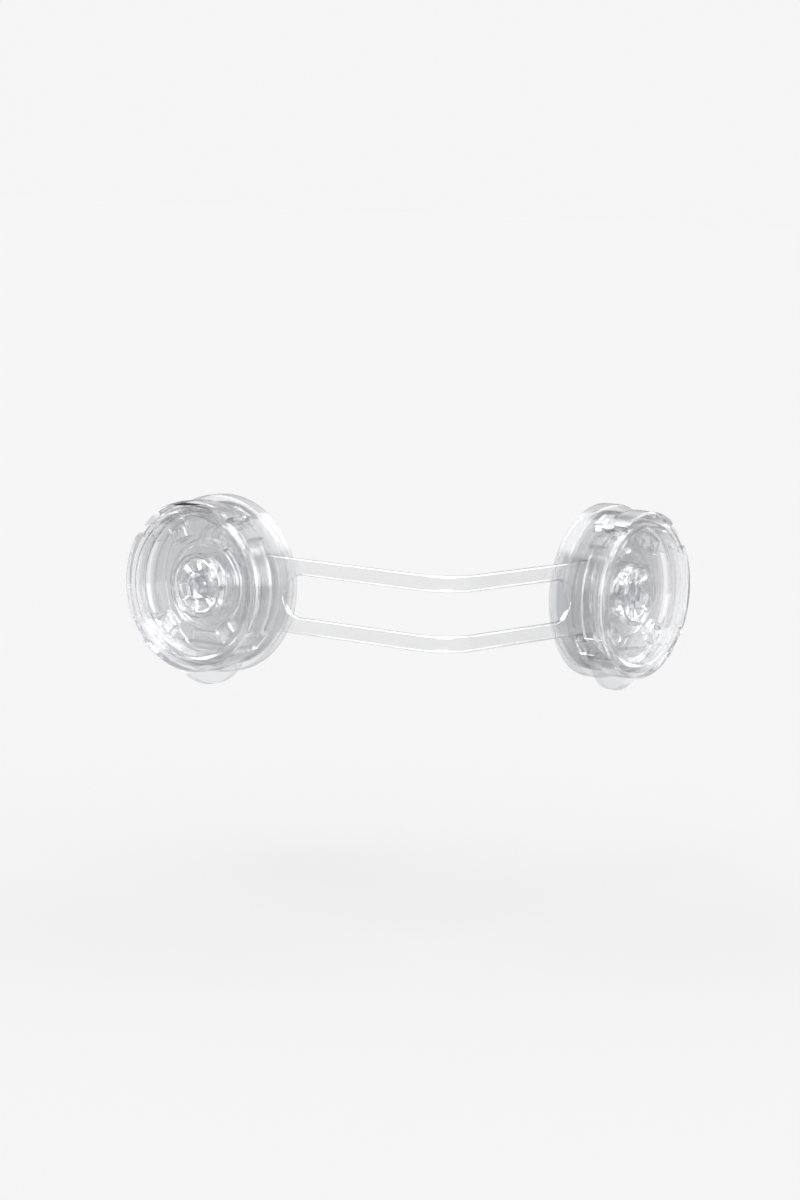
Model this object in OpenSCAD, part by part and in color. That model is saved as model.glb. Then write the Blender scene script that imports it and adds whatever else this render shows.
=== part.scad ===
// Clear two-headed cabinet safety lock: a round head on the front of a drawer, a round head on the
// side of the cabinet, and one slotted strap bent round the corner between them.
// Each head is a stack along its own axis, from the adhesive pad out to the cap:
// pad, wall plate with its pivot stud, housing, thumb latch and bow spring, deck, strap eyelet,
// cap, and a two-piece rivet through the middle.
// Head frame: x along the wall, y up, z off the wall. Millimetres throughout.

/* [Placement] */
// Distance along the drawer front from the front hub's axis to the cabinet's side face
corner_x = 69; // [60:0.2:100]
// Distance from the drawer's front face back to the side hub's axis
side_hub_y = 70.6; // [60:0.2:100]

/* [Adhesive pad] */
// Thickness of the double-sided adhesive pad
pad_t = 0.8; // [0.5:0.1:1.5]
// Distance from the wall plate's edge in to the pad's edge
pad_inset = 2; // [1:0.1:4]

/* [Wall plate] */
// Thickness of the wall plate's floor
plate_floor_t = 1.2; // [1:0.1:1.8]
// Height of the wall plate over the pad
plate_h = 5.2; // [4.4:0.1:6]
// Thickness of the wall plate's rim
rim_t = 1.9; // [1.4:0.1:2.6]
// Radius that rounds the rim's outer top edge
rim_round = 1.1; // [0.6:0.1:1.3]
// Radial gap between the rim and the housing that turns in it
swivel_gap = 0.2; // [0.1:0.05:0.4]
// Gap between the wall plate's floor and the back of the housing
lift_gap = 0.3; // [0.2:0.05:0.5]

/* [Pivot stud] */
// Radius of the stud where the head turns on it
stud_r = 3.6; // [3:0.1:4.2]
// Radius of the stud's foot behind the wall plate
stud_foot_r = 7; // [5.5:0.1:9]
// Thickness of the stud's foot
stud_foot_t = 0.6; // [0.4:0.1:0.8]
// Step from the stud's bearing in to its locking collar
collar_step = 0.7; // [0.5:0.1:1]
// Depth of the locking groove under the collar
groove_depth = 1; // [0.7:0.1:1.3]

/* [Housing] */
// Thickness of the housing's back
housing_floor_t = 1; // [0.8:0.1:1.4]
// Thickness of the housing's round wall
housing_wall = 1.5; // [1.3:0.1:2]
// Room between the latch's riser and the inside of the housing wall
riser_room = 2.3; // [1.8:0.1:3]
// Width of the inner ledge that carries the deck
ledge_w = 1; // [0.7:0.1:1.4]
// Thickness of the guide ribs beside the latch
guide_t = 1.2; // [0.8:0.1:1.6]
// Height of the tongue that locates the cap
tongue_h = 2.8; // [2:0.1:3.4]
// Width of each of the two catch ears
ear_w = 4.2; // [3:0.1:4.6]
// How far the catch ears stand out past the cap
ear_out = 0.4; // [0.2:0.1:0.8]
// Height of the catch ears over the housing wall
ear_h = 4.4; // [3:0.1:5]

/* [Thumb latch] */
// Travel of the thumb latch
travel = 2.6; // [2:0.1:3]
// Thickness of the latch plate
latch_t = 1.6; // [1.4:0.1:2]
// Half of the latch plate's width
latch_half_w = 7; // [6:0.1:8.4]
// Distance from the hub's axis up to the latch plate's top edge
latch_reach = 9; // [8:0.1:10]
// Thickness of the riser from the plate up to the thumb tab
riser_t = 2; // [1.6:0.1:2.6]
// Thickness of the thumb tab
tab_t = 2.4; // [1.8:0.1:2.5]
// How far the thumb tab stands out past the cap
tab_out = 3.9; // [3.1:0.1:4.5]
// Half of the thumb tab's width at its root
tab_half_w = 11.8; // [10:0.1:12]
// Radius of the thumb tab's round nose
tab_nose_r = 12.6; // [12:0.1:14]

/* [Bow spring] */
// Thickness of the bow spring's leaf
spring_t = 0.8; // [0.6:0.1:1.1]
// Gap above and below the bow spring
spring_side_gap = 0.2; // [0.1:0.05:0.3]

/* [Deck] */
// Thickness of the deck between the latch and the strap
deck_t = 1.5; // [1.3:0.1:2]
// Head room between the latch plate and the deck
deck_room = 0.6; // [0.45:0.05:0.9]

/* [Strap] */
// Thickness of the strap
strap_t = 2; // [1.6:0.1:2.6]
// Width of the strap
strap_w = 19.6; // [15.8:0.1:20]
// Width of the long slot
slot_w = 11; // [9.8:0.1:12.6]
// Distance from each hub's axis to the near end of the slot
slot_start = 25; // [24.5:0.1:33]
// Radius of the round eyelet at each end
eyelet_r = 12.5; // [11.5:0.1:15]
// Radius of the strap's bend, to the middle of its thickness
bend_r = 10.5; // [8:0.1:14]

/* [Cap] */
// How far the cap stands out past the housing wall
cap_overhang = 1.1; // [0.9:0.1:1.6]
// Thickness of the upright wall round the cap's recess
dish_wall_t = 1; // [0.8:0.1:1.4]
// Depth of the cap's recess
recess_depth = 5.2; // [4.6:0.1:5.6]
// Radius between the recess's upright wall and its floor
recess_round = 2.4; // [1.6:0.1:2.8]
// Thickness of the recess's floor
cap_wall = 1.6; // [1.3:0.1:2]
// Thickness of the ring's front face
ring_top_t = 1.5; // [1.2:0.1:2]
// Thickness of the ring's outer wall
ring_outer_t = 1.6; // [1.3:0.1:1.8]
// Depth of the cap's outer band, front to back
band_h = 6.2; // [5.6:0.1:6.8]
// Bevel round the ring's outer front edge
ring_bevel = 0.6; // [0.4:0.1:1]
// Width of each snap leg
leg_w = 5; // [4:0.1:5.4]
// Height of the rib under the cap that clamps the eyelet
clamp_h = 0.8; // [0.5:0.1:1]
// Width of the rib under the cap that clamps the eyelet
clamp_w = 1.2; // [0.8:0.1:1.8]
// Radius of the round boss in the middle of the recess
boss_r = 8.4; // [7.2:0.1:9.8]
// Height of the round boss over the recess
boss_h = 2.8; // [2:0.1:3.4]
// Thickness of the round boss's wall
boss_t = 1; // [0.7:0.1:1.2]
// Outer length of each moulding window, across the radius
window_l = 5.4; // [4.4:0.1:6]
// Outer depth of each moulding window, along the radius
window_d = 4.4; // [3.6:0.1:4.8]
// Thickness of the frame round each moulding window
window_t = 0.8; // [0.5:0.1:1]
// Height of the frame round each moulding window
window_h = 2.2; // [1.6:0.1:2.8]

/* [Rivet] */
// Radius of the rivet's split shank
shank_r = 4.3; // [3.7:0.1:4.8]
// Radius of the pin that spreads the rivet
pin_r = 2.4; // [1.9:0.1:2.6]
// Radius of the pin's round head
pin_head_r = 3.8; // [3.4:0.1:4]
// Height of the pin's head over the rivet's flange
pin_head_h = 3.4; // [2.4:0.1:3.8]
// Thickness of the rivet's flange
flange_t = 0.8; // [0.6:0.1:1.2]
// Height of the petals on the rivet's flange
petal_h = 1.5; // [1:0.1:2]
// Width of the slots between the petals and between the shank's fingers
petal_slot = 0.9; // [0.6:0.1:1.2]

/* [Hidden] */
$fn = 96;

// Clearances: between pieces that stay put, between pieces that slide, and the length by which
// every cut runs past the face that it opens
fit_gap = 0.15;
slide_gap = 0.15;
running_gap = 0.1;
over = 1;

// Angles round the head, anticlockwise from the strap's side as the head is seen from the room
ear_angles = [44, 136];
upper_notches = [[33, 58.5], [121.5, 147]];
window_angles = [62, 118, 228, 312];
petals = 8;

// Places along the radius, worked out from the eyelet to the wall plate's edge
eyelet_gap = 0.5;
riser_in = eyelet_r + eyelet_gap + travel;
riser_out = riser_in + riser_t;
housing_in_r = riser_out + riser_room;
housing_r = housing_in_r + housing_wall;
plate_in_r = housing_r + swivel_gap;
plate_r = plate_in_r + rim_t;
cap_r = housing_r + cap_overhang;
ring_in_r = cap_r - ring_outer_t;
dish_out_r = housing_in_r - 2 * fit_gap;
recess_r = dish_out_r - dish_wall_t;
recess_floor_r = recess_r - recess_round;
window_in_r = recess_floor_r - window_d + window_t;
tongue_r = ring_in_r - fit_gap;
deck_r = housing_in_r - fit_gap;
collar_r = stud_r - collar_step;
groove_r = collar_r - groove_depth;
leg_face_r = cap_r - fit_gap;
low_leg_face_r = cap_r - ring_outer_t / 2;
catch_bar_t = 0.7;

// Each lower leg stands just below the opening for the strap, in a notch that is longer above it
leg_land = 0.7;
low_turn = asin((strap_w / 2 + leg_w / 2 + leg_land) / ((housing_in_r + housing_r) / 2));
leg_angles = [65, 115, 180 + low_turn, 360 - low_turn];
notch_above = 11;
notch_below = 7;
lower_notches = [
    [180 + low_turn - notch_above, 180 + low_turn + notch_below],
    [360 - low_turn - notch_below, 360 - low_turn + notch_above]
];

// Heights off the wall, worked out from the wall to the front of the cap
plate_floor_z = pad_t + plate_floor_t;
plate_top_z = pad_t + plate_h;
housing_z = plate_floor_z + lift_gap;
housing_floor_z = housing_z + housing_floor_t;
latch_z = housing_floor_z + slide_gap;
latch_mid_z = latch_z + latch_t / 2;
latch_top_z = latch_z + latch_t;
deck_z = latch_top_z + deck_room;
strap_z = deck_z + deck_t;
strap_mid_z = strap_z + strap_t / 2;
strap_top_z = strap_z + strap_t;
cap_floor_z = strap_top_z + clamp_h;
recess_z = cap_floor_z + cap_wall;
cap_top_z = recess_z + recess_depth;
band_z = cap_top_z - band_h;
tab_z = strap_z + fit_gap;
stud_top_z = deck_z - fit_gap;
flange_top_z = recess_z + flange_t;

// Snap legs reach down to just over the wall plate, and hook under a bar in the housing wall
leg_z = plate_top_z + 2 * lift_gap;
hook_h = 1.5;
slot_z = leg_z - fit_gap;
bar_z = leg_z + hook_h + fit_gap;
bar_h = 1;

// Rounding of the wall plate's back edge, and chamfers of the small round pieces
plate_back_bevel = 0.5;
pin_bevel = 0.4;
stud_nose = 0.3;
barb_out = 0.55;
barb_h = 0.7;
dimple_r = 2;
dimple_depth = 0.9;
petal_lean = 0.6;
bearing_w = 1.5;
bearing_h = lift_gap - slide_gap;

// Colours of the clear mouldings, of the slightly cooler moving pieces and of the clear adhesive
clear_plastic = [0.88, 0.92, 0.95];
cool_clear = [0.80, 0.87, 0.92];
soft_clear = [0.92, 0.93, 0.93];

// Puts a piece drawn in the head frame on the front of the drawer
module on_front() {
    rotate([90, 0, 0]) children();
}

// Puts a piece drawn in the head frame on the side of the cabinet
module on_side() {
    translate([corner_x, side_hub_y, 0]) rotate([90, 0, 90]) children();
}

// A flat ring between two radii, from one height to another
module ring(inner, outer, low, high) {
    translate([0, 0, low])
        difference() {
            cylinder(r = outer, h = high - low);
            translate([0, 0, -over]) cylinder(r = inner, h = high - low + 2 * over);
        }
}

// A block that lies along the radius at one angle
module radial_block(angle, inner, outer, width, low, high) {
    rotate([0, 0, angle])
        translate([inner, -width / 2, low])
            cube([outer - inner, width, high - low]);
}

// A wedge of space between two angles, for cutting notches
module sector(from_angle, to_angle, reach, low, high) {
    side = reach / cos((to_angle - from_angle) / 2);
    translate([0, 0, low])
        linear_extrude(high - low)
            polygon([
                [0, 0],
                side * [cos(from_angle), sin(from_angle)],
                side * [cos(to_angle), sin(to_angle)]
            ]);
}

// Round double-sided pad
module pad_shape() {
    cylinder(r = plate_r - pad_inset, h = pad_t);
}

// Shallow round cup that stays on the wall
module plate_shape() {
    difference() {
        rotate_extrude()
            plate_profile();
        translate([0, 0, pad_t - over]) cylinder(r = stud_foot_r + fit_gap, h = stud_foot_t + over);
        cylinder(r = stud_r + fit_gap, h = plate_top_z);
    }
    bearing_r = plate_in_r - rim_t;
    ring(bearing_r - bearing_w, bearing_r, plate_floor_z - bearing_h, plate_floor_z + bearing_h);
}

// Half section of the wall plate
module plate_profile() {
    difference() {
        union() {
            polygon([
                [0, pad_t],
                [plate_r - plate_back_bevel, pad_t],
                [plate_r, pad_t + plate_back_bevel],
                [plate_r, plate_top_z - rim_round],
                [plate_r - rim_round, plate_top_z],
                [0, plate_top_z]
            ]);
            translate([plate_r - rim_round, plate_top_z - rim_round]) circle(r = rim_round);
        }
        translate([0, plate_floor_z]) square([plate_in_r, plate_h]);
    }
}

// Mushroom stud on which the head turns and behind whose collar the latch hooks
module stud_shape() {
    neck_z = housing_floor_z;
    rotate_extrude()
        polygon([
            [0, pad_t],
            [stud_foot_r, pad_t],
            [stud_foot_r, pad_t + stud_foot_t],
            [stud_r, pad_t + stud_foot_t],
            [stud_r, neck_z],
            [groove_r, neck_z],
            [groove_r, latch_mid_z + fit_gap],
            [collar_r, latch_mid_z + fit_gap],
            [collar_r, latch_top_z - stud_nose],
            [groove_r, stud_top_z],
            [0, stud_top_z]
        ]);
}

// Turning cup that holds the latch, carries the deck and takes the cap's snap legs
module housing_shape() {
    difference() {
        union() {
            ring(stud_r + running_gap, housing_r, housing_z, housing_floor_z);
            ring(housing_in_r, housing_r, housing_z, band_z);
            ring(housing_in_r, tongue_r, band_z - fit_gap, band_z + tongue_h);
            ring(housing_in_r - ledge_w, housing_in_r + fit_gap, housing_floor_z - fit_gap, deck_z);
            latch_guides();
            spring_seat();
            intersection() {
                ear_blocks();
                cylinder(r = cap_r + ear_out, h = cap_top_z);
            }
        }
        strap_windows();
        tab_window();
        riser_way();
        for (angle = leg_angles) leg_slot(angle);
    }
    for (angle = leg_angles) catch_bar(angle);
}

// Two ribs that guide the latch plate
module latch_guides() {
    guide_in = latch_half_w + slide_gap;
    for (side = [0, 180])
        rotate([0, 0, side])
            translate([guide_in, -latch_reach, housing_floor_z - fit_gap])
                cube([guide_t, 2 * latch_reach, deck_z - housing_floor_z + fit_gap]);
}

// Block behind the crown of the bow spring
module spring_seat() {
    seat_y = latch_reach + slide_gap + latch_half_w + fit_gap;
    translate([-latch_half_w / 2, seat_y, housing_floor_z - fit_gap])
        cube([latch_half_w, housing_in_r - seat_y, deck_z - housing_floor_z + fit_gap]);
}

// Two ears that stand up in the cap's upper notches
module ear_blocks() {
    for (angle = ear_angles)
        radial_block(angle, tongue_r - fit_gap / 2, plate_r, ear_w, band_z - ear_w / 2, band_z + ear_h);
}

// Openings on both sides where the strap can leave the head
module strap_windows() {
    for (side = [0, 180])
        rotate([0, 0, side])
            translate([0, -strap_w / 2 - fit_gap, strap_z - fit_gap])
                cube([plate_r, strap_w + 2 * fit_gap, band_z - strap_z + fit_gap]);
}

// Opening at the bottom where the thumb tab comes out
module tab_window() {
    half = tab_half_w + slide_gap;
    translate([-half, -plate_r, strap_z - fit_gap])
        cube([2 * half, plate_r, band_z - strap_z + fit_gap]);
}

// Way down through the ledge for the latch's riser
module riser_way() {
    half = latch_half_w + slide_gap;
    intersection() {
        translate([-half, -housing_in_r, housing_floor_z])
            cube([2 * half, housing_in_r - latch_reach, strap_z - housing_floor_z]);
        cylinder(r = housing_in_r, h = strap_z);
    }
}

// Slot in the housing wall for one snap leg
module leg_slot(angle) {
    radial_block(angle, housing_in_r - ledge_w, plate_r, leg_w + 2 * fit_gap, slot_z, cap_top_z);
}

// Bar across one leg slot, under which the leg's hook catches
module catch_bar(angle) {
    intersection() {
        radial_block(angle, housing_in_r - ledge_w, plate_r, leg_w + 2 * over, bar_z, bar_z + bar_h);
        ring(housing_in_r, housing_in_r + catch_bar_t, bar_z - over, bar_z + bar_h + over);
    }
}

// Sliding plate with a keyhole round the stud, a riser and a thumb tab
module latch_shape() {
    difference() {
        union() {
            translate([-latch_half_w, -riser_out, latch_z])
                cube([2 * latch_half_w, riser_out + latch_reach, latch_t]);
            translate([-latch_half_w, -riser_out, latch_z])
                cube([2 * latch_half_w, riser_t, tab_z + tab_t - latch_z]);
            translate([0, 0, tab_z]) linear_extrude(tab_t) tab_outline();
        }
        translate([0, 0, latch_z - over]) linear_extrude(latch_t + 2 * over) keyhole();
        translate([0, 0, latch_mid_z]) linear_extrude(latch_t) collar_pocket();
    }
}

// Keyhole: a round hole that the collar passes, and a narrow end that grips the groove
module keyhole() {
    translate([0, -travel]) circle(r = collar_r + running_gap);
    circle(r = groove_r + running_gap);
    translate([-groove_r - running_gap, -travel]) square([2 * (groove_r + running_gap), travel]);
}

// Pocket over the keyhole in which the collar moves
module collar_pocket() {
    pocket_r = collar_r + fit_gap;
    translate([0, -travel]) circle(r = pocket_r);
    circle(r = pocket_r);
    translate([-pocket_r, -travel]) square([2 * pocket_r, travel]);
}

// Outline of the thumb tab: the outer part of a wide round nose
module tab_outline() {
    intersection() {
        translate([0, tab_nose_r - cap_r - tab_out]) circle(r = tab_nose_r);
        translate([-tab_half_w, -2 * cap_r]) square([2 * tab_half_w, 2 * cap_r - riser_in]);
    }
}

// Bow spring between the latch plate's top edge and the seat in the housing
module spring_shape() {
    low = housing_floor_z + spring_side_gap;
    translate([0, latch_reach + slide_gap, low])
        linear_extrude(deck_z - low - spring_side_gap)
            bow_outline();
}

// Half round leaf with a rounded foot at each end
module bow_outline() {
    foot_r = spring_t * 0.75;
    reach = latch_half_w + over;
    difference() {
        circle(r = latch_half_w);
        circle(r = latch_half_w - spring_t);
        translate([-reach, -reach]) square([2 * reach, reach + foot_r]);
    }
    for (side = [-1, 1])
        translate([side * (latch_half_w - foot_r), foot_r])
            circle(r = foot_r);
}

// Round plate that closes the latch chamber and carries the strap's eyelet
module deck_shape() {
    notch_y = -(riser_in - travel - slide_gap);
    half = latch_half_w + slide_gap;
    difference() {
        translate([0, 0, deck_z]) cylinder(r = deck_r, h = deck_t);
        translate([-half, notch_y - plate_r, deck_z - over])
            cube([2 * half, plate_r, deck_t + 2 * over]);
        translate([0, 0, deck_z - over]) {
            cylinder(r = shank_r + fit_gap, h = deck_t + 2 * over);
            cylinder(r = shank_r + barb_out + fit_gap, h = over + barb_h + fit_gap);
        }
    }
}

// Front cover with its recess, snap legs, boss and moulding windows
module cap_shape() {
    clamp_r = eyelet_r - eyelet_gap;
    difference() {
        union() {
            rotate_extrude() cap_profile();
            ring(boss_r - boss_t, boss_r, recess_z - fit_gap, recess_z + boss_h);
            ring(clamp_r - clamp_w, clamp_r, strap_top_z, cap_floor_z + fit_gap);
            for (angle = window_angles) window_frame(angle);
        }
        for (angle = window_angles) window_hole(angle);
        for (notch = upper_notches) ring_notch(notch, tongue_r - fit_gap);
        for (notch = lower_notches) ring_notch(notch, low_leg_face_r);
        translate([0, 0, cap_floor_z - over]) cylinder(r = shank_r + fit_gap, h = cap_wall + 2 * over);
    }
    for (index = [0:3]) snap_leg(leg_angles[index], index < 2 ? leg_face_r : low_leg_face_r);
}

// Half section of the cap: a recess with an upright wall inside a hollow ring
module cap_profile() {
    round_z = recess_z + recess_round;
    difference() {
        polygon([
            [0, cap_floor_z],
            [ring_in_r, cap_floor_z],
            [ring_in_r, band_z],
            [cap_r, band_z],
            [cap_r, cap_top_z - ring_bevel],
            [cap_r - ring_bevel, cap_top_z],
            [0, cap_top_z]
        ]);
        translate([0, recess_z]) square([recess_floor_r, recess_depth + over]);
        translate([0, round_z]) square([recess_r, recess_depth]);
        translate([recess_floor_r, round_z]) circle(r = recess_round);
        difference() {
            translate([recess_floor_r, cap_floor_z - over])
                square([ring_in_r - recess_floor_r, cap_top_z - ring_top_t - cap_floor_z + over]);
            dish_wall(round_z);
        }
    }
}

// Half section of the recess's round corner and upright wall, up from the corner's centre
module dish_wall(round_z) {
    intersection() {
        translate([0, cap_floor_z]) square([dish_out_r, cap_top_z - cap_floor_z]);
        union() {
            translate([recess_floor_r, round_z]) circle(r = recess_round + cap_wall);
            translate([recess_floor_r, round_z]) square([recess_round + cap_wall, recess_depth]);
        }
    }
}

// Removes the ring between two angles, outside one radius
module ring_notch(notch, inner) {
    difference() {
        sector(notch[0], notch[1], plate_r + over, band_z - over, cap_top_z + over);
        translate([0, 0, band_z - 2 * over]) cylinder(r = inner, h = band_h + 4 * over);
    }
}

// One snap leg with a flat outer face and an inward hook at its end
module snap_leg(angle, face_r) {
    radial_block(angle, ring_in_r, face_r, leg_w, leg_z, cap_top_z - ring_bevel);
    radial_block(angle, housing_in_r + fit_gap, ring_in_r + fit_gap, leg_w, leg_z, leg_z + hook_h);
}

// Raised frame round one moulding window
module window_frame(angle) {
    outer = window_in_r + window_d;
    radial_block(angle, window_in_r, outer, window_l, recess_z - fit_gap, recess_z + window_h);
}

// Hole through the recess's floor inside one frame
module window_hole(angle) {
    hole_l = window_l - 2 * window_t;
    outer = window_in_r + window_d - window_t;
    radial_block(angle, window_in_r + window_t, outer, hole_l, cap_floor_z - over, cap_top_z + over);
}

// Split tube that holds cap, eyelet and deck together, with petals round its mouth
module rivet_body_shape() {
    shank_z = deck_z + fit_gap;
    difference() {
        rotate_extrude()
            polygon([
                [pin_r + fit_gap, shank_z],
                [shank_r, shank_z],
                [shank_r + barb_out, shank_z + barb_h - fit_gap],
                [shank_r, shank_z + barb_h - fit_gap],
                [shank_r, recess_z],
                [boss_r - boss_t - fit_gap, recess_z],
                [boss_r - boss_t - fit_gap, flange_top_z],
                [boss_r - boss_t - fit_gap - petal_lean, flange_top_z + petal_h],
                [pin_head_r + fit_gap, flange_top_z + petal_h / 2],
                [pin_head_r + fit_gap, flange_top_z],
                [pin_r + fit_gap, flange_top_z]
            ]);
        for (turn = [0:petals - 1])
            radial_block(turn * 360 / petals, pin_head_r, boss_r, petal_slot, flange_top_z, cap_top_z);
        for (turn = [0:3])
            radial_block(turn * 90, 0, boss_r, petal_slot, shank_z - over, strap_z);
    }
}

// Pin pushed down the rivet's bore to spread its fingers
module rivet_pin_shape() {
    head_z = flange_top_z;
    top_z = head_z + pin_head_h;
    difference() {
        rotate_extrude()
            polygon([
                [0, deck_z + 2 * fit_gap],
                [pin_r - pin_bevel, deck_z + 2 * fit_gap],
                [pin_r, deck_z + 2 * fit_gap + pin_bevel],
                [pin_r, head_z],
                [pin_head_r, head_z],
                [pin_head_r, top_z - pin_bevel],
                [pin_head_r - pin_bevel, top_z],
                [0, top_z]
            ]);
        translate([0, 0, top_z - dimple_depth]) cylinder(r = dimple_r, h = dimple_depth + over);
    }
}

// Plan of one straight leg of the strap: the eyelet, the leg, its hole and the slot
module leg_outline(leg_l) {
    difference() {
        union() {
            circle(r = eyelet_r);
            translate([0, -strap_w / 2]) square([leg_l, strap_w]);
        }
        circle(r = shank_r + fit_gap);
        translate([slot_start + slot_w / 2, 0]) circle(r = slot_w / 2);
        translate([slot_start + slot_w / 2, -slot_w / 2]) square([leg_l, slot_w]);
    }
}

module front_adhesive_pad() { color(soft_clear) on_front() pad_shape(); }
module side_adhesive_pad() { color(soft_clear) on_side() pad_shape(); }
module front_wall_plate() { color(clear_plastic) on_front() plate_shape(); }
module side_wall_plate() { color(clear_plastic) on_side() plate_shape(); }
module front_pivot_stud() { color(clear_plastic) on_front() stud_shape(); }
module side_pivot_stud() { color(clear_plastic) on_side() stud_shape(); }
module front_housing() { color(clear_plastic) on_front() housing_shape(); }
module side_housing() { color(clear_plastic) on_side() housing_shape(); }
module front_thumb_latch() { color(cool_clear) on_front() latch_shape(); }
module side_thumb_latch() { color(cool_clear) on_side() latch_shape(); }
module front_bow_spring() { color(cool_clear) on_front() spring_shape(); }
module side_bow_spring() { color(cool_clear) on_side() spring_shape(); }
module front_deck() { color(clear_plastic) on_front() deck_shape(); }
module side_deck() { color(clear_plastic) on_side() deck_shape(); }
module front_cap() { color(clear_plastic) on_front() cap_shape(); }
module side_cap() { color(clear_plastic) on_side() cap_shape(); }
module front_rivet_body() { color(cool_clear) on_front() rivet_body_shape(); }
module side_rivet_body() { color(cool_clear) on_side() rivet_body_shape(); }
module front_rivet_pin() { color(clear_plastic) on_front() rivet_pin_shape(); }
module side_rivet_pin() { color(clear_plastic) on_side() rivet_pin_shape(); }

// One-piece strap: two slotted legs and the two rails of the bend between them
module strap() {
    bend_x = corner_x + strap_mid_z - bend_r;
    bend_y = bend_r - strap_mid_z;
    rail_w = (strap_w - slot_w) / 2;
    color(clear_plastic) {
        translate([0, -strap_z, 0]) rotate([90, 0, 0]) linear_extrude(strap_t) leg_outline(bend_x);
        translate([corner_x + strap_z, side_hub_y, 0])
            rotate([90, 0, 90])
                linear_extrude(strap_t)
                    mirror([1, 0]) leg_outline(side_hub_y - bend_y);
        translate([bend_x, bend_y, 0])
            rotate([0, 0, -90])
                rotate_extrude(angle = 90)
                    for (rail = [-strap_w / 2, slot_w / 2])
                        translate([bend_r - strap_t / 2, rail]) square([strap_t, rail_w]);
    }
}

front_adhesive_pad();
front_wall_plate();
front_pivot_stud();
front_housing();
front_thumb_latch();
front_bow_spring();
front_deck();
front_cap();
front_rivet_body();
front_rivet_pin();
strap();
side_adhesive_pad();
side_wall_plate();
side_pivot_stud();
side_housing();
side_thumb_latch();
side_bow_spring();
side_deck();
side_cap();
side_rivet_body();
side_rivet_pin();
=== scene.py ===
"""Looks of a clear two-headed cabinet safety lock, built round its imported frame.

Two round stick-on heads stand square to each other and share one slotted strap. Every piece is moulded
in clear plastic, so the looks are the rounding of the moulded edges, the plastic itself and the soft,
bright room that it bends.
"""

import logging
import math
from dataclasses import dataclass, field
from enum import Enum
from typing import Any, Iterable, Optional, Sequence, Union

import bmesh
import bpy
from mathutils import Matrix, Vector


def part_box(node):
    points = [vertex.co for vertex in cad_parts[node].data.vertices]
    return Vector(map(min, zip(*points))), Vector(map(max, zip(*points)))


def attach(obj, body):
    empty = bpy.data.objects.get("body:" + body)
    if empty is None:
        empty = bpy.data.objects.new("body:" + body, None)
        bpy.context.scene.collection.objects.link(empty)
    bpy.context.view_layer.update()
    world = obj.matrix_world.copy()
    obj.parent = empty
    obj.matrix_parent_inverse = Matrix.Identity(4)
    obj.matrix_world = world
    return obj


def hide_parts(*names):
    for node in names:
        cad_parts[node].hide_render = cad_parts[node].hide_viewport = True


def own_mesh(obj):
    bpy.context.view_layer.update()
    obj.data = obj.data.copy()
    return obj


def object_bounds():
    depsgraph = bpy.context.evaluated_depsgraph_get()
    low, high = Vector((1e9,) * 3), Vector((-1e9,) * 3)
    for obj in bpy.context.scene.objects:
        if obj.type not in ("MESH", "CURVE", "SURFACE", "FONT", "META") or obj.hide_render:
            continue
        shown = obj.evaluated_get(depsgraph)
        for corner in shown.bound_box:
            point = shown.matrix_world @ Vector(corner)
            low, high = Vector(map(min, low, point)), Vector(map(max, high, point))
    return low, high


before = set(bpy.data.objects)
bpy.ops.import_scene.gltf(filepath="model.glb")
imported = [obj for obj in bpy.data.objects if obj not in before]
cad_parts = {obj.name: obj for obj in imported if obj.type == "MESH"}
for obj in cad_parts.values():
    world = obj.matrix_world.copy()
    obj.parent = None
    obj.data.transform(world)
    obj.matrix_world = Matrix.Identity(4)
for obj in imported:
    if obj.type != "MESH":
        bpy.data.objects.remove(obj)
CAD_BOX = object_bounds()

logging.basicConfig(level=logging.INFO, format="%(name)s: %(message)s")
log = logging.getLogger("cabinet_lock")

MM = 0.001
STRAP_BODY = "strap_assembly"
WHITE = (1.0, 1.0, 1.0)
Colour = tuple[float, float, float]
Number = Union[int, float]


class Side(Enum):
    """The two heads of the lock."""

    FRONT = "front"
    SIDE = "side"


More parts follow.
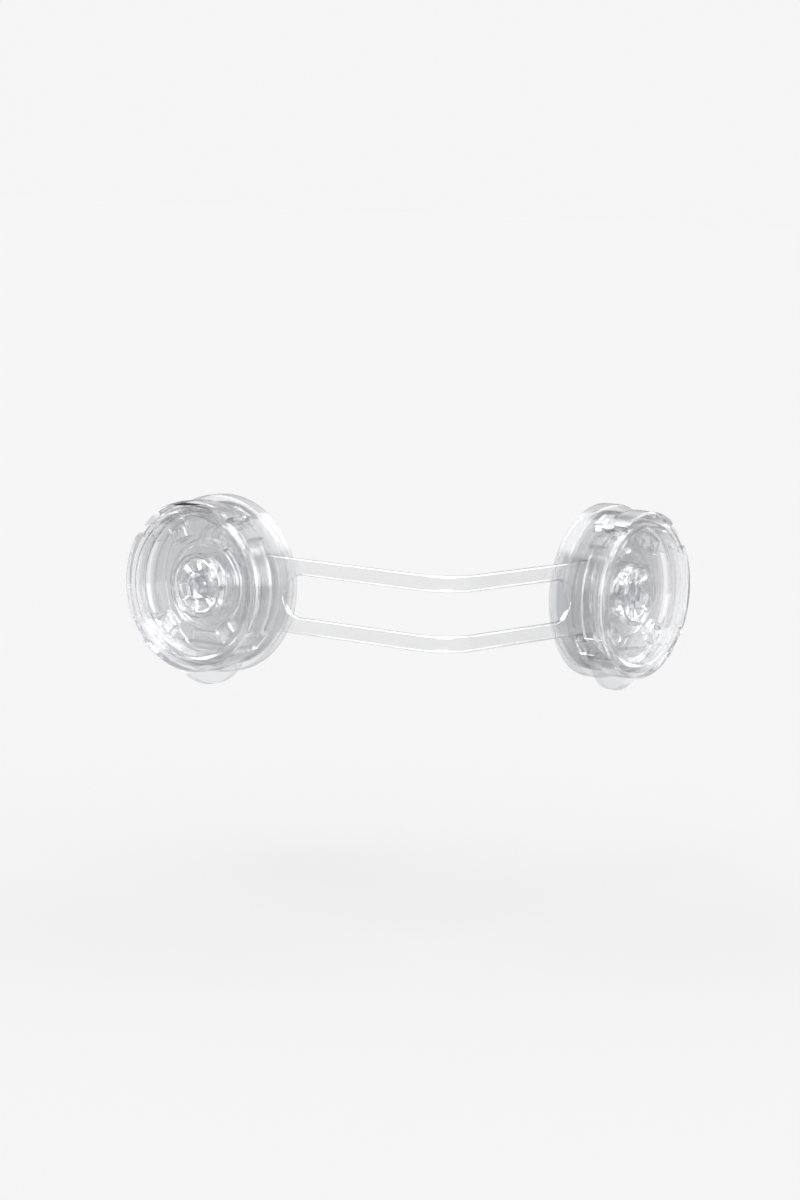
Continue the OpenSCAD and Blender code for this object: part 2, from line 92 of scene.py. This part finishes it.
class Tree:
    """Adds nodes to one node tree."""

    def __init__(self, tree: bpy.types.NodeTree) -> None:
        """Args: tree: the node tree that takes the new nodes."""
        self.tree = tree

    def node(
        self,
        kind: str,
        settings: Optional[dict[str, Any]] = None,
        inputs: Optional[dict[Union[str, int], Any]] = None,
    ) -> bpy.types.Node:
        """Adds one node.

        Args:
            kind: the node's type name.
            settings: properties set first; "stops" fills a colour ramp with (place, grey) pairs.
            inputs: values or links of its sockets, by name or number.

        Returns:
            The new node.
        """
        made = self.tree.nodes.new(kind)
        for name, value in (settings or {}).items():
            if name == "stops":
                self._fill_ramp(made.color_ramp, value)
            else:
                setattr(made, name, value)
        for name, value in (inputs or {}).items():
            self.feed(made.inputs[name], value)
        return made

    def feed(self, socket: bpy.types.NodeSocket, value: Any) -> None:
        """Gives a socket a value or a link.

        Args:
            socket: the socket to feed.
            value: a number, a colour, a vector, a Field or another socket.
        """
        if isinstance(value, Field):
            value = value.socket
        if isinstance(value, bpy.types.NodeSocket):
            self.tree.links.new(value, socket)
        elif isinstance(value, tuple) and socket.type == "RGBA":
            socket.default_value = (*value, 1.0)
        else:
            socket.default_value = value

    def field(self, kind: str, output: Union[str, int], **parts: Any) -> "Field":
        """Adds a node and wraps one of its outputs.

        Args:
            kind: the node's type name.
            output: the output's name or number.
            **parts: settings and inputs, as for node().

        Returns:
            The output as a Field.
        """
        return Field(self, self.node(kind, **parts).outputs[output])

    @staticmethod
    def _fill_ramp(ramp: bpy.types.ColorRamp, stops: Sequence[tuple[float, float]]) -> None:
        """Writes a colour ramp's stops.

        Args:
            ramp: the ramp.
            stops: pairs of a place from 0 to 1 and a grey.
        """
        while len(ramp.elements) < len(stops):
            ramp.elements.new(1.0)
        for element, (place, grey) in zip(ramp.elements, stops):
            element.position = place
            element.color = (grey, grey, grey, 1.0)


class Field:
    """A value that changes over a surface, on which Python's operators add Math nodes."""

    def __init__(self, tree: Tree, socket: bpy.types.NodeSocket) -> None:
        """Args: tree: where nodes are added. socket: the output that holds the value."""
        self.tree = tree
        self.socket = socket

    def math(self, operation: str, *others: Any, first: bool = True) -> "Field":
        """Adds one Math node.

        Args:
            operation: the Math node's operation.
            *others: the other operands.
            first: whether this value is the first operand.

        Returns:
            The result.
        """
        operands = [self, *others] if first else [*others, self]
        inputs = dict(enumerate(operands))
        return self.tree.field("ShaderNodeMath", 0, settings={"operation": operation}, inputs=inputs)

    def __add__(self, other: Any) -> "Field":
        """Sum."""
        return self.math("ADD", other)

    __radd__ = __add__

    def __mul__(self, other: Any) -> "Field":
        """Product."""
        return self.math("MULTIPLY", other)

    __rmul__ = __mul__

    def __sub__(self, other: Any) -> "Field":
        """Difference."""
        return self.math("SUBTRACT", other)

    def __rsub__(self, other: Any) -> "Field":
        """Difference with this value taken away."""
        return self.math("SUBTRACT", other, first=False)

    def __pow__(self, other: Any) -> "Field":
        """Power."""
        return self.math("POWER", other)

    def sine(self) -> "Field":
        """Sine of this value in radians."""
        return self.math("SINE")

    def above(self, limit: Number) -> "Field":
        """1 where this value is above a limit, 0 elsewhere."""
        return self.math("GREATER_THAN", limit)

    def size(self) -> "Field":
        """This value without its sign."""
        return self.math("ABSOLUTE")

    def ease(self, low: Number, high: Number, to_low: Number = 0.0, to_high: Number = 1.0) -> "Field":
        """Maps a range smoothly on to another.

        Args:
            low: the value that gives to_low.
            high: the value that gives to_high.
            to_low: the result at low and below.
            to_high: the result at high and above.

        Returns:
            The mapped value.
        """
        return self.tree.field(
            "ShaderNodeMapRange",
            "Result",
            settings={"interpolation_type": "SMOOTHSTEP", "clamp": True},
            inputs={"Value": self, "From Min": low, "From Max": high, "To Min": to_low, "To Max": to_high},
        )


class Finish:
    """Base of the finishes: keeps one material for each finish."""

    name = "finish"

    def material(self) -> bpy.types.Material:
        """Returns the finish's material, made on first use."""
        made = bpy.data.materials.get(self.name)
        if made is None:
            made = bpy.data.materials.new(self.name)
            made.use_nodes = True
            made.node_tree.nodes.clear()
            self.paint(Tree(made.node_tree))
        return made

    def paint(self, tree: Tree) -> None:
        """Adds the finish's nodes to an empty tree."""
        raise NotImplementedError

    def dress(self, piece: bpy.types.Object) -> None:
        """Puts the finish on a piece.

        Args:
            piece: the object whose material slots are filled.
        """
        if not piece.material_slots:
            piece.data.materials.append(self.material())
        for place in piece.material_slots:
            place.material = self.material()


@dataclass(frozen=True)
class ClearMoulding(Finish):
    """Polished clear plastic as it comes from the mould, thick enough to bend what is seen through it.

    The flow of the melt leaves broad, very shallow waves, handling leaves a patchy haze and hairline
    scuffs, and the melt holds a trace of cool tint that changes a little from place to place. Light
    that has been bent often enough goes straight on, as it fades in real plastic.
    """

    name: str = "clear_moulding"
    tint: Colour = (0.950, 0.951, 0.954)
    thick_tint: Colour = (0.938, 0.939, 0.943)
    refraction: float = 1.42
    most_bends: float = 8.5
    polish: float = 0.0
    haze: float = 0.02
    wave_size: float = 4.5 * MM
    wave_depth: float = 0.004 * MM
    wave_detail: float = 1.5
    patch_stretch: float = 2.4
    patch_detail: float = 3.0
    tint_patches: tuple[float, float] = (0.35, 0.70)
    haze_patches: tuple[float, float] = (0.42, 0.68)
    patch_shade: float = 0.02
    scuff_size: float = 0.35 * MM
    scuff_stretch: float = 14.0
    scuff_turn: Colour = (0.5, 0.3, 0.8)
    scuff_detail: float = 4.0
    scuff_share: tuple[float, float] = (0.60, 0.72)
    scuff_depth: float = 0.02
    shadow_tint: Colour = (0.980, 0.981, 0.983)
    outline_power: float = 4.2
    outline_share: float = 1.0
    face_tint: Colour = (0.968, 0.969, 0.972)
    # painted shade: the grey that a wall darkens to where it is seen edge on, in place of the dark lines that
    # bent light draws along edges
    rim_shade: Colour = (0.20, 0.20, 0.21)
    rim_power: float = 2.4
    gloss_least: float = 0.05
    gloss_most: float = 0.16
    gloss_power: float = 4.0

    def paint(self, tree: Tree) -> None:
        """Adds the plastic's nodes.

        Args:
            tree: the material's empty tree.
        """
        place = tree.node("ShaderNodeTexCoord").outputs["Object"]
        waves = self._noise(tree, place, self.wave_size, self.wave_detail)
        patches = self._noise(tree, place, self.wave_size * self.patch_stretch, self.patch_detail)
        stretched = tree.node(
            "ShaderNodeMapping",
            inputs={"Vector": place, "Rotation": self.scuff_turn, "Scale": (1.0, 1.0, self.scuff_stretch)},
        ).outputs["Vector"]
        grain = self._noise(tree, stretched, self.scuff_size * self.scuff_stretch, self.scuff_detail)
        scuffs = grain.ease(*self.scuff_share)
        rough = patches.ease(*self.haze_patches, self.polish, self.haze) + scuffs * (self.haze / 2)
        bumped = tree.node(
            "ShaderNodeBump",
            inputs={
                "Strength": 1.0,
                "Distance": self.wave_depth,
                "Height": waves + scuffs * self.scuff_depth,
            },
        ).outputs["Normal"]
        rim = tree.field("ShaderNodeLayerWeight", "Facing", inputs={"Blend": 0.5})
        body = self._body(tree, rim, patches, rough, bumped)
        self._let_lamps_through(tree, body)

    def _body(
        self, tree: Tree, rim: Field, patches: Field, rough: Field, bumped: bpy.types.NodeSocket
    ) -> bpy.types.NodeSocket:
        """Adds the bending plastic with a thin outline of painted shade.

        Args:
            tree: the material's tree.
            rim: 0 where the surface is seen square on, 1 where it is seen edge on.
            patches: the broad patches of tint and haze.
            rough: the roughness.
            bumped: the waved normal.

        Returns:
            The shader's output.
        """
        tinted = tree.node(
            "ShaderNodeMix",
            settings={"data_type": "RGBA"},
            inputs={0: patches.ease(*self.tint_patches), 6: self.tint, 7: self.thick_tint},
        ).outputs[2]
        bending = tree.node(
            "ShaderNodeBsdfPrincipled",
            inputs={
                "Base Color": tinted,
                "Roughness": rough,
                "IOR": self.refraction,
                "Transmission Weight": 1.0,
                "Normal": bumped,
            },
        )
        thin = self._thin_wall(tree, rim, patches, rough, bumped)
        # share of the thin wall with its painted-shade rim, strongest where the surface is seen edge on
        outline = rim ** self.outline_power * self.outline_share
        return tree.node(
            "ShaderNodeMixShader", inputs={0: outline, 1: bending.outputs[0], 2: thin}
        ).outputs[0]

    def _thin_wall(
        self, tree: Tree, rim: Field, patches: Field, rough: Field, bumped: bpy.types.NodeSocket
    ) -> bpy.types.NodeSocket:
        """Adds the look of a thin wall, which shows what is behind it unbent and darkens towards its rim with
        painted shade.

        Args:
            tree: the material's tree.
            rim: 0 where the surface is seen square on, 1 where it is seen edge on.
            patches: the broad patches of tint and haze.
            rough: the roughness.
            bumped: the waved normal.

        Returns:
            The shader's output.
        """
        clear = tree.node("ShaderNodeBsdfTransparent", inputs={"Color": self.face_tint})
        # painted shade towards the rim
        dark = tree.node("ShaderNodeBsdfTransparent", inputs={"Color": self.rim_shade})
        shade = rim ** self.rim_power + patches.ease(*self.tint_patches, 0.0, self.patch_shade)
        through = tree.node("ShaderNodeMixShader", inputs={0: shade, 1: clear.outputs[0], 2: dark.outputs[0]})
        gloss = tree.node(
            "ShaderNodeBsdfAnisotropic", inputs={"Color": WHITE, "Roughness": rough, "Normal": bumped}
        )
        share = rim ** self.gloss_power * (self.gloss_most - self.gloss_least) + self.gloss_least
        return tree.node(
            "ShaderNodeMixShader", inputs={0: share, 1: through.outputs[0], 2: gloss.outputs[0]}
        ).outputs[0]

    def _noise(self, tree: Tree, place: bpy.types.NodeSocket, size: float, detail: float) -> Field:
        """Adds a noise.

        Args:
            tree: the material's tree.
            place: the coordinates.
            size: the size of its patches in metres.
            detail: how many finer layers it has.

        Returns:
            The noise, from 0 to 1.
        """
        return tree.field(
            "ShaderNodeTexNoise",
            0,
            inputs={"Vector": place, "Scale": 1.0 / size, "Detail": detail, "Roughness": 0.5},
        )

    def _let_lamps_through(self, tree: Tree, body: bpy.types.NodeSocket) -> None:
        """Ends the tree with a surface that lamps and often bent light go straight through.

        Args:
            tree: the material's tree.
            body: the shader seen by every other ray.
        """
        passing = tree.node("ShaderNodeBsdfTransparent", inputs={"Color": self.shadow_tint})
        rays = tree.node("ShaderNodeLightPath")
        often_bent = Field(tree, rays.outputs["Ray Depth"]).above(self.most_bends)
        faded = tree.node("ShaderNodeMixShader", inputs={0: often_bent, 1: body, 2: passing.outputs[0]})
        mixed = tree.node(
            "ShaderNodeMixShader",
            inputs={0: rays.outputs["Is Shadow Ray"], 1: faded.outputs[0], 2: passing.outputs[0]},
        )
        tree.node("ShaderNodeOutputMaterial", inputs={"Surface": mixed.outputs[0]})


@dataclass(frozen=True)
class CoolMoulding(ClearMoulding):
    """The same plastic in the small working pieces, a little cooler."""

    name: str = "cool_moulding"
    tint: Colour = (0.978, 0.980, 0.984)
    thick_tint: Colour = (0.966, 0.969, 0.975)


@dataclass(frozen=True)
class AdhesiveGel(ClearMoulding):
    """Soft clear adhesive: cloudy, with an uneven skin."""

    name: str = "adhesive_gel"
    tint: Colour = (0.965, 0.966, 0.968)
    thick_tint: Colour = (0.935, 0.936, 0.939)
    outline_share: float = 0.0
    polish: float = 0.06
    haze: float = 0.16
    wave_size: float = 1.6 * MM
    wave_depth: float = 0.02 * MM


@dataclass(frozen=True)
class ThinMoulding(ClearMoulding):
    """The plastic in thin, even walls, which don't bend what is seen through them."""

    name: str = "thin_moulding"
    face_tint: Colour = (0.945, 0.946, 0.949)
    # painted shade at the rims of thin walls
    rim_shade: Colour = (0.50, 0.50, 0.51)
    rim_power: float = 2.6
    gloss_least: float = 0.025
    gloss_most: float = 0.25

    def _body(
        self, tree: Tree, rim: Field, patches: Field, rough: Field, bumped: bpy.types.NodeSocket
    ) -> bpy.types.NodeSocket:
        """Adds the thin wall alone.

        Args:
            tree: the material's tree.
            rim: 0 where the surface is seen square on, 1 where it is seen edge on.
            patches: the broad patches of tint and haze.
            rough: the roughness.
            bumped: the waved normal.

        Returns:
            The shader's output.
        """
        return self._thin_wall(tree, rim, patches, rough, bumped)


CLEAR = ClearMoulding()
COOL = CoolMoulding()
RIVET = CoolMoulding(name="rivet_moulding", most_bends=6.5, outline_power=6.0, gloss_most=0.30)
GEL = AdhesiveGel()
INNER = ThinMoulding()
PLATE = ThinMoulding(
    name="plate_moulding",
    face_tint=(0.962, 0.963, 0.966),
    rim_shade=(0.48, 0.48, 0.49),
    gloss_least=0.05,
    gloss_most=0.35,
)
STRAP = ThinMoulding(
    name="strap_moulding",
    face_tint=(0.930, 0.931, 0.935),
    rim_shade=(0.50, 0.50, 0.51),
    rim_power=3.2,
    gloss_least=0.17,
    gloss_most=0.60,
)
LATCH = ThinMoulding(
    name="latch_moulding",
    face_tint=(0.938, 0.940, 0.946),
    rim_shade=(0.40, 0.40, 0.41),
    rim_power=3.0,
    gloss_least=0.16,
    gloss_most=0.60,
)


@dataclass
class MouldedEdge:
    """The small radius that a mould leaves on every edge."""

    radius: float = 0.16 * MM
    steps: int = 2
    join_flats: bool = True
    skin_gap: float = 0.012 * MM
    sharp_from: float = math.radians(33.0)
    smooth_below: float = math.radians(50.0)
    flat_within: float = math.radians(0.6)
    same_point: float = 0.001 * MM
    flat_weight: int = 60

    def soften(self, piece: bpy.types.Object) -> None:
        """Rounds a piece's sharp edges with modifiers.

        Args:
            piece: the object to round.
        """
        weld = piece.modifiers.new("join_faces", "WELD")
        weld.merge_threshold = self.same_point
        if self.join_flats:
            flats = piece.modifiers.new("whole_flats", "DECIMATE")
            flats.decimate_type = "DISSOLVE"
            flats.angle_limit = self.flat_within
        edge = piece.modifiers.new("moulded_edge", "BEVEL")
        edge.width = self.radius
        edge.segments = self.steps
        edge.limit_method = "ANGLE"
        edge.angle_limit = self.sharp_from
        skin = piece.modifiers.new("air_between_pieces", "DISPLACE")
        skin.mid_level = 0.0
        skin.strength = -self.skin_gap
        shade = piece.modifiers.new("shade_by_angle", "NODES")
        shade.node_group = self._shade_group()
        weighted = piece.modifiers.new("flat_faces_first", "WEIGHTED_NORMAL")
        weighted.keep_sharp = True
        weighted.weight = self.flat_weight

    def _shade_group(self) -> bpy.types.NodeTree:
        """Returns the node group that shades smooth below an angle."""
        group = bpy.data.node_groups.get("shade_by_angle")
        if group is not None:
            return group
        group = bpy.data.node_groups.new("shade_by_angle", "GeometryNodeTree")
        for way in ("INPUT", "OUTPUT"):
            group.interface.new_socket("Geometry", in_out=way, socket_type="NodeSocketGeometry")
        tree = Tree(group)
        start = tree.node("NodeGroupInput")
        gentle = tree.node(
            "FunctionNodeCompare",
            settings={"data_type": "FLOAT", "operation": "LESS_THAN"},
            inputs={0: tree.node("GeometryNodeInputMeshEdgeAngle").outputs[0], 1: self.smooth_below},
        )
        faces = tree.node(
            "GeometryNodeSetShadeSmooth",
            settings={"domain": "FACE"},
            inputs={"Geometry": start.outputs[0], "Shade Smooth": True},
        )
        edges = tree.node(
            "GeometryNodeSetShadeSmooth",
            settings={"domain": "EDGE"},
            inputs={"Geometry": faces.outputs[0], "Shade Smooth": gentle.outputs[0]},
        )
        tree.node("NodeGroupOutput", inputs={0: edges.outputs[0]})
        return group


@dataclass
class SubAssembly:
    """Base of the sub-assemblies: the solids that they carry over from the frame."""

    side: Side = Side.FRONT
    edge: MouldedEdge = field(default_factory=MouldedEdge)

    def carry_over(self, part: str, finish: Finish, edge: Optional[MouldedEdge] = None) -> None:
        """Rounds one of the head's solids and gives it its finish.

        Args:
            part: the solid's name without its head's name.
            finish: the finish it takes.
            edge: its edges' rounding, where it isn't the sub-assembly's own.
        """
        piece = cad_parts[f"{self.side.value}_{part}"]
        (edge or self.edge).soften(piece)
        finish.dress(piece)
        log.info("%s: %s", piece.name, finish.name)

    def to_world(self) -> Matrix:
        """Returns the turn and move from the head frame, z off the wall, to the lock's frame."""
        if self.side is Side.FRONT:
            return Matrix(((1, 0, 0, 0), (0, 0, -1, 0), (0, 1, 0, 0), (0, 0, 0, 1)))
        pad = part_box("side_adhesive_pad")
        middle = (pad[0] + pad[1]) / 2
        return Matrix(((0, 0, 1, pad[0].x), (1, 0, 0, middle.y), (0, 1, 0, 0), (0, 0, 0, 1)))

    def build(self) -> None:
        """Builds and dresses the sub-assembly."""
        raise NotImplementedError


@dataclass
class WallMount(SubAssembly):
    """What stays on the furniture: adhesive pad, wall plate and pivot stud."""

    rim_edge: MouldedEdge = field(default_factory=lambda: MouldedEdge(radius=0.3 * MM, steps=3))

    def build(self) -> None:
        """Dresses the pad, the plate and the stud."""
        self.carry_over("adhesive_pad", GEL)
        self.carry_over("wall_plate", PLATE, self.rim_edge)
        self.carry_over("pivot_stud", INNER)


@dataclass
class TurningHead(SubAssembly):
    """What turns on the stud: housing, deck, cap and rivet."""

    lens_edge: MouldedEdge = field(default_factory=lambda: MouldedEdge(radius=0.2 * MM, steps=4))

    def build(self) -> None:
        """Dresses the head's mouldings."""
        self.carry_over("housing", INNER)
        self.carry_over("deck", INNER)
        self.carry_over("cap", CLEAR, self.lens_edge)
        self.carry_over("rivet_body", RIVET, self.lens_edge)
        self.carry_over("rivet_pin", INNER)


@dataclass
class ThumbLatch(SubAssembly):
    """The sliding latch with its thumb tab, and the bow spring that pushes it back."""

    leaf: float = 0.8 * MM
    leaf_r: float = 7.0 * MM
    foot_r: float = 0.6 * MM
    foot_reach: float = 0.16
    foot_lift_share: float = 0.6
    foot_y: float = 9.15 * MM
    low: float = 3.5 * MM
    high: float = 5.45 * MM
    crown_z: float = 16.15 * MM
    travel: float = 2.6 * MM
    arc_steps: int = 48
    edge: MouldedEdge = field(
        default_factory=lambda: MouldedEdge(radius=0.2 * MM, steps=4, join_flats=False)
    )
    tab_edge: MouldedEdge = field(
        default_factory=lambda: MouldedEdge(radius=0.5 * MM, steps=5, join_flats=False)
    )

    def build(self) -> None:
        """Dresses the latch and makes the spring."""
        self.carry_over("thumb_latch", LATCH, self.tab_edge)
        self.make_spring()

    def make_spring(self) -> None:
        """Makes the bow spring as a bent leaf with curled feet."""
        node = f"{self.side.value}_bow_spring"
        shape = bmesh.new()
        outline = self._outline()
        low = [shape.verts.new((x, y, self.low)) for x, y in outline]
        high = [shape.verts.new((x, y, self.high)) for x, y in outline]
        count = len(outline)
        for index in range(count):
            after = (index + 1) % count
            shape.faces.new((low[index], low[after], high[after], high[index]))
        half = count // 2
        for index in range(half - 1):
            partner = count - 1 - index
            for ring, turned in ((low, True), (high, False)):
                corners = [ring[index], ring[index + 1], ring[partner - 1], ring[partner]]
                shape.faces.new(corners[::-1] if turned else corners)
        bmesh.ops.recalc_face_normals(shape, faces=shape.faces)
        mesh = bpy.data.meshes.new(f"{node}_leaf")
        shape.to_mesh(mesh)
        shape.free()
        mesh.transform(self.to_world())
        piece = bpy.data.objects.new(f"{node}_leaf", mesh)
        bpy.context.scene.collection.objects.link(piece)
        COOL.dress(piece)
        self.edge.soften(piece)
        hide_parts(node)
        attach(piece, STRAP_BODY)
        tuple(self.to_world() @ Vector((0, self.crown_z, self.low)))
        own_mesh(piece)
        log.info("%s: bent leaf of %d corners", piece.name, count)

    def _outline(self) -> list[tuple[float, float]]:
        """Returns the leaf's outline in the head frame: out along its outer side, back along its inner."""
        outer, inner = [], []
        middle_r = self.leaf_r - self.leaf / 2
        lift = self.foot_r * self.foot_lift_share
        rise = (self.leaf_r - lift) / self.leaf_r
        base = self.foot_y + lift
        for step in range(self.arc_steps + 1):
            turn = math.pi * step / self.arc_steps
            half = self.leaf / 2 + self._foot_share(turn) * (self.foot_r - self.leaf / 2)
            x, y = math.cos(turn), math.sin(turn)
            outer.append(((middle_r + half) * x, base + (middle_r + half) * y * rise))
            inner.append(((middle_r - half) * x, base + (middle_r - half) * y * rise))
        return outer + inner[::-1]

    def _foot_share(self, turn: float) -> float:
        """Returns how far the leaf has swollen into a foot at an angle from 0 to pi."""
        near = min(turn, math.pi - turn)
        return math.sqrt(max(0.0, 1.0 - near / self.foot_reach))


@dataclass
class Strap(SubAssembly):
    """The one-piece slotted strap."""

    edge: MouldedEdge = field(default_factory=lambda: MouldedEdge(radius=0.7 * MM, steps=5))

    def build(self) -> None:
        """Dresses the strap."""
        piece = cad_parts["strap"]
        self.edge.soften(piece)
        STRAP.dress(piece)
        log.info("strap: %s", STRAP.name)


@dataclass
class PhotoCamera:
    """The camera of the photograph, solved from the lock's own edges."""

    yaw: float = math.radians(36.25)
    pitch: float = math.radians(7.39)
    roll: float = math.radians(2.32)
    place: tuple[float, float, float] = (565.4 * MM, -694.8 * MM, 113.0 * MM)
    focal_px: float = 3400.0
    long_side_px: float = 1200.0
    sensor: float = 36.0
    nearest: float = 0.01
    furthest: float = 50.0

    def build(self) -> None:
        """Adds the camera and makes it the scene's."""
        lens = bpy.data.cameras.new("photo_camera")
        lens.sensor_fit = "AUTO"
        lens.sensor_width = self.sensor
        lens.lens = self.focal_px / self.long_side_px * self.sensor
        lens.clip_start = self.nearest
        lens.clip_end = self.furthest
        camera = bpy.data.objects.new("photo_camera", lens)
        bpy.context.scene.collection.objects.link(camera)
        camera.matrix_world = self._matrix()
        bpy.context.scene.camera = camera
        log.info("camera: %.1f mm lens", lens.lens)

    def _matrix(self) -> Matrix:
        """Returns the camera's place and turn."""
        level = Vector((math.cos(self.yaw), math.sin(self.yaw), 0.0))
        ahead = Vector((
            -math.sin(self.yaw) * math.cos(self.pitch),
            math.cos(self.yaw) * math.cos(self.pitch),
            -math.sin(self.pitch),
        ))
        above = level.cross(ahead)
        right = level * math.cos(self.roll) + above * math.sin(self.roll)
        up = above * math.cos(self.roll) - level * math.sin(self.roll)
        turn = Matrix((right, up, -ahead)).transposed()
        return Matrix.Translation(self.place) @ turn.to_4x4()


@dataclass(frozen=True)
class SoftBox:
    """A lamp's white panel that the plastic mirrors, placed by its direction from the lock."""

    turn: float
    half_width: float
    low: float
    high: float
    power: float
    blur: float = 0.12

    def glow(self, around: Field, height: Field) -> Field:
        """Shapes the panel.

        Args:
            around: each direction's turn from +X, in radians.
            height: each direction's height, from -1 to 1.

        Returns:
            The panel's brightness, 0 outside it.
        """
        beside = (around - self.turn).size().ease(self.half_width + self.blur, self.half_width)
        above = height.ease(self.low - self.blur, self.low)
        below = 1.0 - height.ease(self.high, self.high + self.blur)
        return beside * above * below * self.power


OVERHEAD = SoftBox(turn=0.0, half_width=math.pi, low=0.74, high=1.0, power=3.6)
FRONT_RIGHT = SoftBox(turn=-0.63, half_width=0.30, low=-0.35, high=0.45, power=4.0)
BEHIND = SoftBox(turn=1.41, half_width=0.30, low=0.46, high=0.64, power=3.6)


@dataclass
class Studio:
    """Pale floor, soft overhead light and the bright room round the lock.

    The floor lies below the lock's reach to the right, because the strap hangs down that far when the
    front head has turned a quarter.
    """

    floor_gap: float = 1.0 * MM
    floor_middle: tuple[float, float] = (0.04, 0.03)
    floor_r: float = 12.0
    floor_corners: int = 96
    floor_colour: Colour = (0.965, 0.965, 0.968)
    backdrop: Colour = (0.915, 0.915, 0.918)
    room_light: float = 0.80
    sky_tint: Colour = (0.998, 0.998, 1.0)
    sky_bands: tuple[tuple[float, float], ...] = (
        (0.0, 0.95),
        (0.2, 0.95),
        (0.25, 0.60),
        (0.36, 0.60),
        (0.42, 1.0),
        (0.55, 1.0),
        (0.65, 1.5),
        (1.0, 1.3),
    )
    lobe_count: float = 3.0
    lobe_turn: float = 0.6
    lobe_shade: float = 0.2
    lobe_height: tuple[float, float] = (0.12, 0.45)
    panels: tuple[SoftBox, ...] = (OVERHEAD, FRONT_RIGHT, BEHIND)
    key_power: float = 0.62
    key_angle: float = math.radians(24.0)
    key_turn: tuple[float, float] = (math.radians(38.0), math.radians(10.0))
    clear_bounces: int = 32
    clear_layers: int = 96
    mirror_bounces: int = 8
    matt_bounces: int = 3
    brightest_bounce: float = 6.0

    def build(self) -> None:
        """Adds floor, room and lamp, and sets how deep rays go."""
        self._floor()
        self._room()
        self._key()
        scene = bpy.context.scene
        scene.view_settings.view_transform = "Standard"
        scene.cycles.max_bounces = self.clear_bounces + self.matt_bounces + 1
        scene.cycles.transmission_bounces = self.clear_bounces
        scene.cycles.glossy_bounces = self.mirror_bounces
        scene.cycles.transparent_max_bounces = self.clear_layers
        scene.cycles.diffuse_bounces = self.matt_bounces
        scene.cycles.sample_clamp_indirect = self.brightest_bounce
        scene.cycles.caustics_reflective = False
        scene.cycles.caustics_refractive = False

    def _floor(self) -> None:
        """Adds the round floor."""
        shape = bmesh.new()
        bmesh.ops.create_circle(
            shape, cap_ends=True, segments=self.floor_corners, radius=self.floor_r
        )
        mesh = bpy.data.meshes.new("studio_floor")
        shape.to_mesh(mesh)
        shape.free()
        reach = CAD_BOX[1][0]
        mesh.transform(Matrix.Translation((*self.floor_middle, -reach - self.floor_gap)))
        floor = bpy.data.objects.new("studio_floor", mesh)
        bpy.context.scene.collection.objects.link(floor)
        material = bpy.data.materials.new("studio_floor")
        material.use_nodes = True
        material.node_tree.nodes.clear()
        tree = Tree(material.node_tree)
        matt = tree.node("ShaderNodeBsdfDiffuse", inputs={"Color": self.floor_colour})
        tree.node("ShaderNodeOutputMaterial", inputs={"Surface": matt.outputs[0]})
        mesh.materials.append(material)

    def _room(self) -> None:
        """Adds the room: plain and pale where it is seen, softly banded where the plastic bends it."""
        world = bpy.data.worlds.new("studio_room")
        bpy.context.scene.world = world
        world.use_nodes = True
        world.node_tree.nodes.clear()
        tree = Tree(world.node_tree)
        rays = tree.node("ShaderNodeLightPath")
        direction = tree.node("ShaderNodeTexCoord").outputs["Generated"]
        axes = tree.node("ShaderNodeSeparateXYZ", inputs={0: direction})
        east, north, height = (Field(tree, axes.outputs[index]) for index in range(3))
        around = north.math("ARCTAN2", east)
        tone = tree.node(
            "ShaderNodeValToRGB",
            settings={"stops": self.sky_bands},
            inputs={0: height},
        ).outputs[0]
        lobes = (around * self.lobe_count + self.lobe_turn).sine() * 0.5 + 0.5
        lobed = height.ease(*self.lobe_height) * lobes * self.lobe_shade
        shown = Field(tree, tone) * (1.0 - lobed)
        glow = sum(panel.glow(around, height) for panel in self.panels) + self.room_light
        plain = tree.node("ShaderNodeBackground", inputs={"Color": WHITE, "Strength": self.room_light})
        banded = tree.node("ShaderNodeBackground", inputs={"Color": self.sky_tint, "Strength": shown})
        mirrored = tree.node("ShaderNodeBackground", inputs={"Color": WHITE, "Strength": glow})
        seen = tree.node("ShaderNodeBackground", inputs={"Color": self.backdrop, "Strength": 1.0})
        through_plastic = tree.node(
            "ShaderNodeMixShader",
            inputs={0: rays.outputs["Is Transmission Ray"], 1: plain.outputs[0], 2: banded.outputs[0]},
        )
        for_plastic = tree.node(
            "ShaderNodeMixShader",
            inputs={0: rays.outputs["Is Glossy Ray"], 1: through_plastic.outputs[0], 2: mirrored.outputs[0]},
        )
        for_camera = tree.node(
            "ShaderNodeMixShader",
            inputs={0: rays.outputs["Is Camera Ray"], 1: for_plastic.outputs[0], 2: seen.outputs[0]},
        )
        tree.node("ShaderNodeOutputWorld", inputs={"Surface": for_camera.outputs[0]})

    def _key(self) -> None:
        """Adds the broad key lamp above and in front."""
        lamp = bpy.data.lights.new("key_lamp", "SUN")
        lamp.energy = self.key_power
        lamp.angle = self.key_angle
        key = bpy.data.objects.new("key_lamp", lamp)
        bpy.context.scene.collection.objects.link(key)
        key.rotation_euler = (self.key_turn[0], self.key_turn[1], 0.0)


def main() -> None:
    """Builds the lock's looks and the studio."""
    PhotoCamera().build()
    Studio().build()
    parts: Iterable[SubAssembly] = [
        kind(side=side) for side in Side for kind in (WallMount, TurningHead, ThumbLatch)
    ] + [Strap()]
    for part in parts:
        part.build()
    bpy.context.view_layer.update()


if __name__ == "__main__":
    main()
